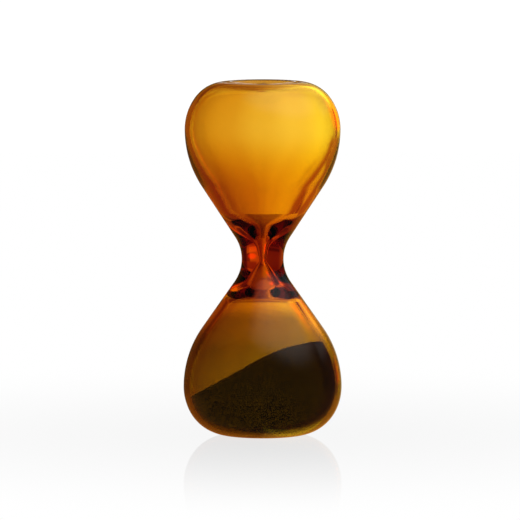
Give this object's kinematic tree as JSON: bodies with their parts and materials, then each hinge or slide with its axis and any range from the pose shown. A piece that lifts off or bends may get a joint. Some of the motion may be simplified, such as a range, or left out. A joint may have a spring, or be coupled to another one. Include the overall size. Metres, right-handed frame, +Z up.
{
  "type": "sand timer",
  "caption": "Frameless blown-glass hourglass: two amber bulbs joined by a thick waist, with a sealed charge of black sand heaped in the lower bulb.",
  "frame": {"origin": "centre of the foot ring, on the surface that the timer stands on", "axes": "+Z up along the axis of the glass, -Y towards the viewer, +X to the viewer's right; the heap of sand is highest towards +X and -Y"},
  "size_m": [0.0514, 0.0514, 0.115],
  "materials": {
    "amber_glass": "clear amber, fire-polished",
    "deep_amber_glass": "the same glass, red-brown where it is thick",
    "black_sand": "fine dry grains, matte"
  },
  "bodies": {
    "glass": {"lower_bulb": "amber_glass", "neck": "deep_amber_glass", "upper_bulb": "amber_glass", "filling_seal": "amber_glass"},
    "sand_charge": {"sand": "black_sand"}
  },
  "joints": [
    {"name": "sand_turn", "type": "hinge", "parent": "glass", "child": "sand_charge", "pos_m": [0, 0, 0.016], "axis": [0, 0, 1], "continuous": true}
  ]
}
